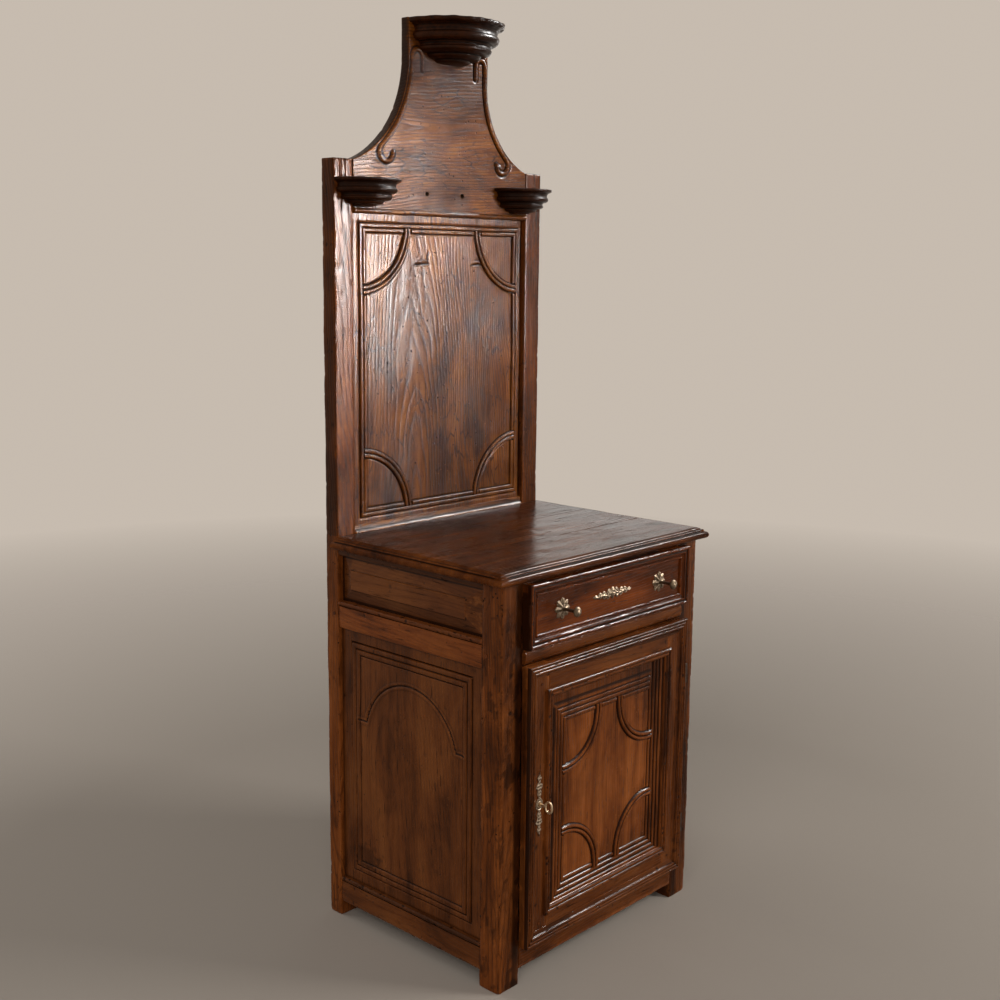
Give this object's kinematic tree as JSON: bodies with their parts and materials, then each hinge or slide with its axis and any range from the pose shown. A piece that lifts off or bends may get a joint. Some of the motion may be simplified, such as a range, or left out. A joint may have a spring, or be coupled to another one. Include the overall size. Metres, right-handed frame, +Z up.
{
  "type": "lavabo cabinet",
  "caption": "Tall carved oak washstand cabinet with a drawer over a panelled door, a panelled backboard, a waisted crest and half round corbel shelves.",
  "frame": {"origin": "bottom centre of the bounding box, on the floor", "axes": "+Z up, the front with the drawer and the door faces -Y, +X to the right seen from the front"},
  "size_m": [0.682, 0.577, 1.95],
  "materials": {
    "case_wood": "dark waxed oak posts and stiles",
    "side_wood": "waxed walnut rails and panels",
    "front_wood": "waxed red brown walnut with worn edges",
    "top_wood": "polished oak boards",
    "backboard_wood": "waxed oak with open grain",
    "corbel_wood": "glossy dark wood",
    "peg_wood": "dark end grain",
    "inner_wood": "raw dusty oak",
    "mount_metal": "dull worn",
    "knob_metal": "rubbed iron",
    "iron": "dark forged iron"
  },
  "bodies": {
    "case": {"front_post_left": "case_wood", "front_post_right": "case_wood", "back_stile_left": "case_wood", "back_stile_right": "case_wood", "tabletop": "top_wood", "side_top_rail_left": "side_wood", "side_top_rail_right": "side_wood", "side_mid_rail_left": "side_wood", "side_mid_rail_right": "side_wood", "side_bottom_rail_left": "side_wood", "side_bottom_rail_right": "side_wood", "frieze_panel_left": "side_wood", "frieze_panel_right": "side_wood", "side_panel_left": "side_wood", "side_panel_right": "side_wood", "front_top_rail": "case_wood", "front_mid_rail": "front_wood", "front_bottom_rail": "front_wood", "back_top_rail": "inner_wood", "back_mid_rail": "inner_wood", "back_bottom_rail": "inner_wood", "back_boards": "inner_wood", "floor_board": "inner_wood", "shelf": "inner_wood", "shelf_bearers": "inner_wood", "drawer_runners": "inner_wood", "crest_board": "backboard_wood", "crest_bead": "backboard_wood", "upper_panel": "backboard_wood", "upper_bottom_rail": "backboard_wood", "corbel_left": "corbel_wood", "corbel_right": "corbel_wood", "corbel_top": "corbel_wood", "joint_pegs": "peg_wood", "hinge_post_leaves": "iron", "lock_keeper": "iron"},
    "drawer": {"drawer_front": "front_wood", "drawer_moulding": "front_wood", "drawer_side_left": "inner_wood", "drawer_side_right": "inner_wood", "drawer_back": "inner_wood", "drawer_bottom": "inner_wood", "drawer_cartouche": "mount_metal", "knob_plates": "mount_metal", "knobs": "knob_metal"},
    "door": {"door_stile_left": "front_wood", "door_stile_right": "front_wood", "door_rail_top": "front_wood", "door_rail_bottom": "front_wood", "door_border": "front_wood", "door_moulding": "front_wood", "door_panel": "front_wood", "door_pegs": "peg_wood", "lock_case": "iron", "lock_cover": "iron", "escutcheon": "mount_metal", "hinge_door_leaves": "iron"},
    "key": {"key": "knob_metal"},
    "lock_bolt": {"lock_bolt": "iron"}
  },
  "joints": [
    {"name": "drawer_slide", "type": "slide", "parent": "case", "child": "drawer", "axis": [0, -1, 0], "range_m": [0, 0.33]},
    {"name": "door_hinge", "type": "hinge", "parent": "case", "child": "door", "pos_m": [0.268, -0.2355, 0.182], "axis": [0, 0, 1], "range_deg": [0, 110]},
    {"name": "key_turn", "type": "hinge", "parent": "door", "child": "key", "pos_m": [-0.225, -0.2495, 0.382], "axis": [0, 1, 0], "range_deg": [0, 360]},
    {"name": "bolt_slide", "type": "slide", "parent": "door", "child": "lock_bolt", "axis": [-1, 0, 0], "range_m": [0, 0.008]}
  ],
  "couplings": [
    {"joint": "key_turn", "follows": "bolt_slide", "rad_per_m": 784.61}
  ]
}
